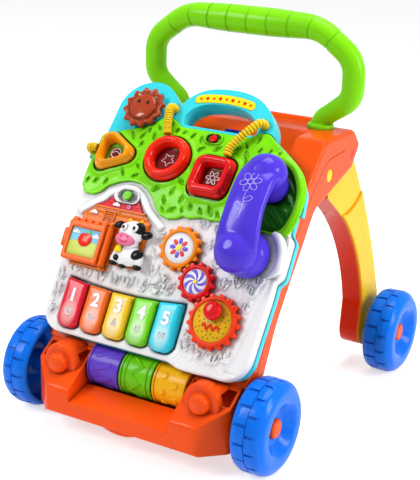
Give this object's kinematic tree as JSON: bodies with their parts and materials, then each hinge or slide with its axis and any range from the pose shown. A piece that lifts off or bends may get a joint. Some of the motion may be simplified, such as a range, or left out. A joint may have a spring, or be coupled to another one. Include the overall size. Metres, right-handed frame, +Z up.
{
  "type": "baby walker",
  "caption": "Push-along baby walker on four wheels with folding rear legs, a push handle, spinning rollers and a lift-off activity panel with keys, gears, rings and a toy handset.",
  "frame": {"origin": "on the floor under the middle of the walker, at the centre of its footprint box", "axes": "+X to the right as seen from the front, +Y back towards the walking child, +Z up"},
  "size_m": [0.382, 0.4618, 0.4875],
  "materials": {
    "frame_orange": "moulded, semi-gloss",
    "handle_green": "moulded, satin",
    "wheel_blue": "moulded, satin",
    "leg_yellow": "moulded, semi-gloss",
    "panel_white": "moulded, satin",
    "panel_teal": "moulded, semi-gloss",
    "tree_green": "moulded, semi-gloss",
    "roller_purple": "moulded, semi-gloss",
    "roller_green": "moulded, semi-gloss",
    "roller_yellow": "moulded, semi-gloss",
    "handset_purple": "moulded, glossy",
    "key_red": "moulded, glossy",
    "key_orange": "moulded, glossy",
    "key_yellow": "moulded, glossy",
    "key_green": "moulded, glossy",
    "key_cyan": "moulded, glossy",
    "gear_yellow": "moulded, semi-gloss",
    "gear_red": "moulded, semi-gloss",
    "gear_orange": "moulded, semi-gloss",
    "knob_red": "moulded, glossy",
    "ring_orange": "moulded, glossy",
    "ring_red": "moulded, glossy",
    "window_red": "glossy",
    "tether_yellow": "soft, satin",
    "door_orange": "moulded, semi-gloss",
    "barn_orange": "moulded, satin",
    "cow_white": "moulded, glossy",
    "sun_amber": "translucent, glossy",
    "latch_blue": "moulded, semi-gloss",
    "pin_red": "moulded, semi-gloss",
    "steel": "drawn",
    "board_green": "board with a matt mask",
    "membrane_grey": "matt",
    "cell_case": "satin sleeve",
    "speaker_black": "matt",
    "contact_metal": "plated"
  },
  "bodies": {
    "frame": {"main_frame": "frame_orange", "base_housing": "frame_orange", "front_axles": "steel", "front_hub_caps": "frame_orange", "roller_rod": "steel", "push_handle": "handle_green", "leg_pivot_pins": "pin_red", "frame_screws": "steel"},
    "panel": {"panel_front": "panel_white", "panel_back": "panel_teal", "tree_panel": "tree_green", "barn_face": "barn_orange", "shape_windows": "window_red", "battery_door": "panel_teal", "batteries": "cell_case", "battery_contacts": "contact_metal", "speaker": "speaker_black", "circuit_board": "board_green", "contact_sheet": "membrane_grey", "panel_screws": "steel", "key_hinge_rod": "steel", "barn_door_pin": "steel", "tether_triangle": "tether_yellow", "tether_circle": "tether_yellow", "tether_square": "tether_yellow"},
    "latch": {"panel_latch": "latch_blue"},
    "lock_left": {"leg_lock_left": "leg_yellow"},
    "lock_right": {"leg_lock_right": "leg_yellow"},
    "leg_left": {"rear_leg_left": "leg_yellow", "rear_axle_left": "steel", "rear_hub_cap_left": "frame_orange"},
    "leg_right": {"rear_leg_right": "leg_yellow", "rear_axle_right": "steel", "rear_hub_cap_right": "frame_orange"},
    "wheel_front_left": {"front_wheel_left": "wheel_blue"},
    "wheel_front_right": {"front_wheel_right": "wheel_blue"},
    "wheel_rear_left": {"rear_wheel_left": "wheel_blue"},
    "wheel_rear_right": {"rear_wheel_right": "wheel_blue"},
    "roller_purple": {"roller_purple": "roller_purple"},
    "roller_green": {"roller_green": "roller_green"},
    "roller_yellow": {"roller_yellow": "roller_yellow"},
    "handset": {"handset_cover": "handset_purple", "handset_base": "handset_purple"},
    "triangle": {"shape_triangle": "ring_orange"},
    "circle": {"shape_circle": "ring_red"},
    "square": {"shape_square": "ring_red"},
    "key_1": {"key_1": "key_red"},
    "key_2": {"key_2": "key_orange"},
    "key_3": {"key_3": "key_yellow"},
    "key_4": {"key_4": "key_green"},
    "key_5": {"key_5": "key_cyan"},
    "gear_top": {"gear_top": "gear_yellow"},
    "gear_middle": {"gear_middle": "gear_red"},
    "gear_bottom": {"gear_bottom": "gear_orange", "crank_knob": "knob_red"},
    "door": {"barn_door": "door_orange"},
    "cow": {"cow_button": "cow_white"},
    "sun": {"sun_button": "sun_amber"},
    "mode": {"mode_switch": "tree_green"},
    "power": {"power_switch": "knob_red"}
  },
  "joints": [
    {"name": "front_wheel_left_spin", "type": "hinge", "parent": "frame", "child": "wheel_front_left", "pos_m": [-0.162, -0.16745, 0.056], "axis": [1, 0, 0], "continuous": true},
    {"name": "front_wheel_right_spin", "type": "hinge", "parent": "frame", "child": "wheel_front_right", "pos_m": [0.162, -0.16745, 0.056], "axis": [1, 0, 0], "continuous": true},
    {"name": "rear_wheel_left_spin", "type": "hinge", "parent": "leg_left", "child": "wheel_rear_left", "pos_m": [-0.17, 0.17495, 0.056], "axis": [1, 0, 0], "continuous": true},
    {"name": "rear_wheel_right_spin", "type": "hinge", "parent": "leg_right", "child": "wheel_rear_right", "pos_m": [0.17, 0.17495, 0.056], "axis": [1, 0, 0], "continuous": true},
    {"name": "roller_purple_spin", "type": "hinge", "parent": "frame", "child": "roller_purple", "pos_m": [-0.0462, -0.16845, 0.077], "axis": [1, 0, 0], "continuous": true},
    {"name": "roller_green_spin", "type": "hinge", "parent": "frame", "child": "roller_green", "pos_m": [0, -0.16845, 0.077], "axis": [1, 0, 0], "continuous": true},
    {"name": "roller_yellow_spin", "type": "hinge", "parent": "frame", "child": "roller_yellow", "pos_m": [0.0462, -0.16845, 0.077], "axis": [1, 0, 0], "continuous": true},
    {"name": "leg_left_fold", "type": "hinge", "parent": "frame", "child": "leg_left", "pos_m": [-0.12, 0.07255, 0.319], "axis": [1, 0, 0], "range_deg": [-46, 0]},
    {"name": "leg_right_fold", "type": "hinge", "parent": "frame", "child": "leg_right", "pos_m": [0.12, 0.07255, 0.319], "axis": [1, 0, 0], "range_deg": [-46, 0]},
    {"name": "leg_lock_left_press", "type": "slide", "parent": "frame", "child": "lock_left", "axis": [1, 0, 0], "range_m": [0, 0.0016], "stiffness_N_per_m": 200},
    {"name": "leg_lock_right_press", "type": "slide", "parent": "frame", "child": "lock_right", "axis": [-1, 0, 0], "range_m": [0, 0.0016], "stiffness_N_per_m": 200},
    {"name": "panel_latch_slide", "type": "slide", "parent": "frame", "child": "latch", "axis": [0, 0.9, 0.436], "range_m": [0, 0.004], "stiffness_N_per_m": 200},
    {"name": "panel_lift_off", "type": "slide", "parent": "frame", "child": "panel", "axis": [0, -0.309, 0.9511], "range_m": [0, 0.06]},
    {"name": "handset_lift_off", "type": "slide", "parent": "panel", "child": "handset", "axis": [0, -0.809, 0.5878], "range_m": [0, 0.05]},
    {"name": "triangle_lift", "type": "slide", "parent": "panel", "child": "triangle", "axis": [0, -0.7431, 0.6691], "range_m": [0, 0.02]},
    {"name": "circle_lift", "type": "slide", "parent": "panel", "child": "circle", "axis": [0, -0.7431, 0.6691], "range_m": [0, 0.02]},
    {"name": "square_lift", "type": "slide", "parent": "panel", "child": "square", "axis": [0, -0.7431, 0.6691], "range_m": [0, 0.02]},
    {"name": "key_1_press", "type": "hinge", "parent": "panel", "child": "key_1", "pos_m": [-0.1025, -0.15855, 0.15964], "axis": [1, 0, 0], "range_deg": [0, 4], "stiffness_Nm_per_rad": 0.3},
    {"name": "key_2_press", "type": "hinge", "parent": "panel", "child": "key_2", "pos_m": [-0.0695, -0.15855, 0.15964], "axis": [1, 0, 0], "range_deg": [0, 4], "stiffness_Nm_per_rad": 0.3},
    {"name": "key_3_press", "type": "hinge", "parent": "panel", "child": "key_3", "pos_m": [-0.0365, -0.15855, 0.15964], "axis": [1, 0, 0], "range_deg": [0, 4], "stiffness_Nm_per_rad": 0.3},
    {"name": "key_4_press", "type": "hinge", "parent": "panel", "child": "key_4", "pos_m": [-0.0035, -0.15855, 0.15964], "axis": [1, 0, 0], "range_deg": [0, 4], "stiffness_Nm_per_rad": 0.3},
    {"name": "key_5_press", "type": "hinge", "parent": "panel", "child": "key_5", "pos_m": [0.0295, -0.15855, 0.15964], "axis": [1, 0, 0], "range_deg": [0, 4], "stiffness_Nm_per_rad": 0.3},
    {"name": "gear_bottom_spin", "type": "hinge", "parent": "panel", "child": "gear_bottom", "pos_m": [0.08868, -0.16788, 0.16549], "axis": [0, -0.866, 0.5], "continuous": true},
    {"name": "gear_middle_spin", "type": "hinge", "parent": "panel", "child": "gear_middle", "pos_m": [0.05344, -0.14817, 0.19962], "axis": [0, -0.866, 0.5], "continuous": true},
    {"name": "gear_top_spin", "type": "hinge", "parent": "panel", "child": "gear_top", "pos_m": [0.0204, -0.13118, 0.22905], "axis": [0, -0.866, 0.5], "continuous": true},
    {"name": "barn_door_swing", "type": "hinge", "parent": "panel", "child": "door", "pos_m": [-0.0765, -0.14466, 0.2157], "axis": [0, 0.5, 0.866], "range_deg": [0, 95]},
    {"name": "cow_press", "type": "slide", "parent": "panel", "child": "cow", "axis": [0, 0.866, -0.5], "range_m": [0, 0.003], "stiffness_N_per_m": 200},
    {"name": "sun_press", "type": "slide", "parent": "panel", "child": "sun", "axis": [0, 0.7431, -0.6691], "range_m": [0, 0.0025], "stiffness_N_per_m": 200},
    {"name": "mode_switch_slide", "type": "slide", "parent": "panel", "child": "mode", "axis": [1, 0, 0], "range_m": [-0.006, 0.006]},
    {"name": "power_switch_slide", "type": "slide", "parent": "panel", "child": "power", "axis": [1, 0, 0], "range_m": [-0.004, 0.004]}
  ],
  "couplings": [
    {"joint": "gear_middle_spin", "follows": "gear_bottom_spin", "ratio": -1.4167},
    {"joint": "gear_top_spin", "follows": "gear_bottom_spin", "ratio": 1.2143}
  ]
}
